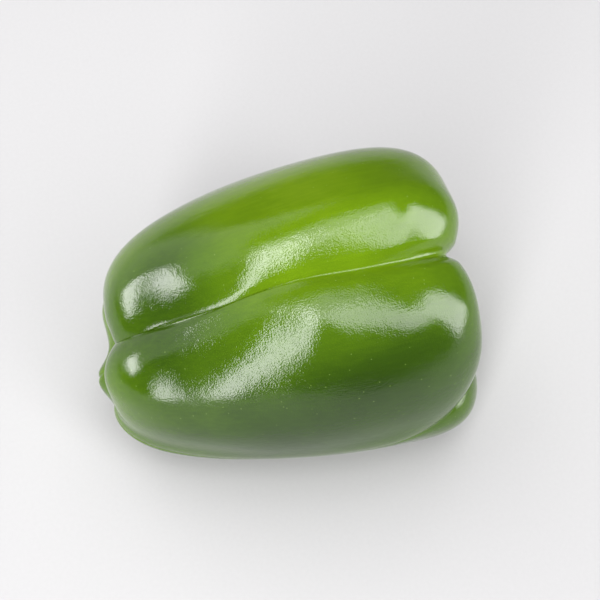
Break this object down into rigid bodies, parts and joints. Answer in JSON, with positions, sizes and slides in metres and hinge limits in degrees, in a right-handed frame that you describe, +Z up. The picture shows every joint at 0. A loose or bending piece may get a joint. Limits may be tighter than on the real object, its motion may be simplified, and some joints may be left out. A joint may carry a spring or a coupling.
{
  "type": "green bell pepper",
  "caption": "Green bell pepper lying on its side: a blocky, glossy fruit of four lobes, with a short cut stem sunk in the recess between its shoulders.",
  "frame": {"origin": "middle of the footprint, on the surface that the pepper lies on", "axes": "+Z up, +X along the fruit from the blossom end to the stem end, -Y towards the front"},
  "size_m": [0.1034, 0.0772, 0.0775],
  "materials": {
    "skin": "glossy waxy green skin",
    "calyx": "matt green calyx and stem with a pale cut end"
  },
  "bodies": {
    "root": {"pepper_fruit": "skin", "calyx_and_stem": "calyx"}
  },
  "joints": []
}
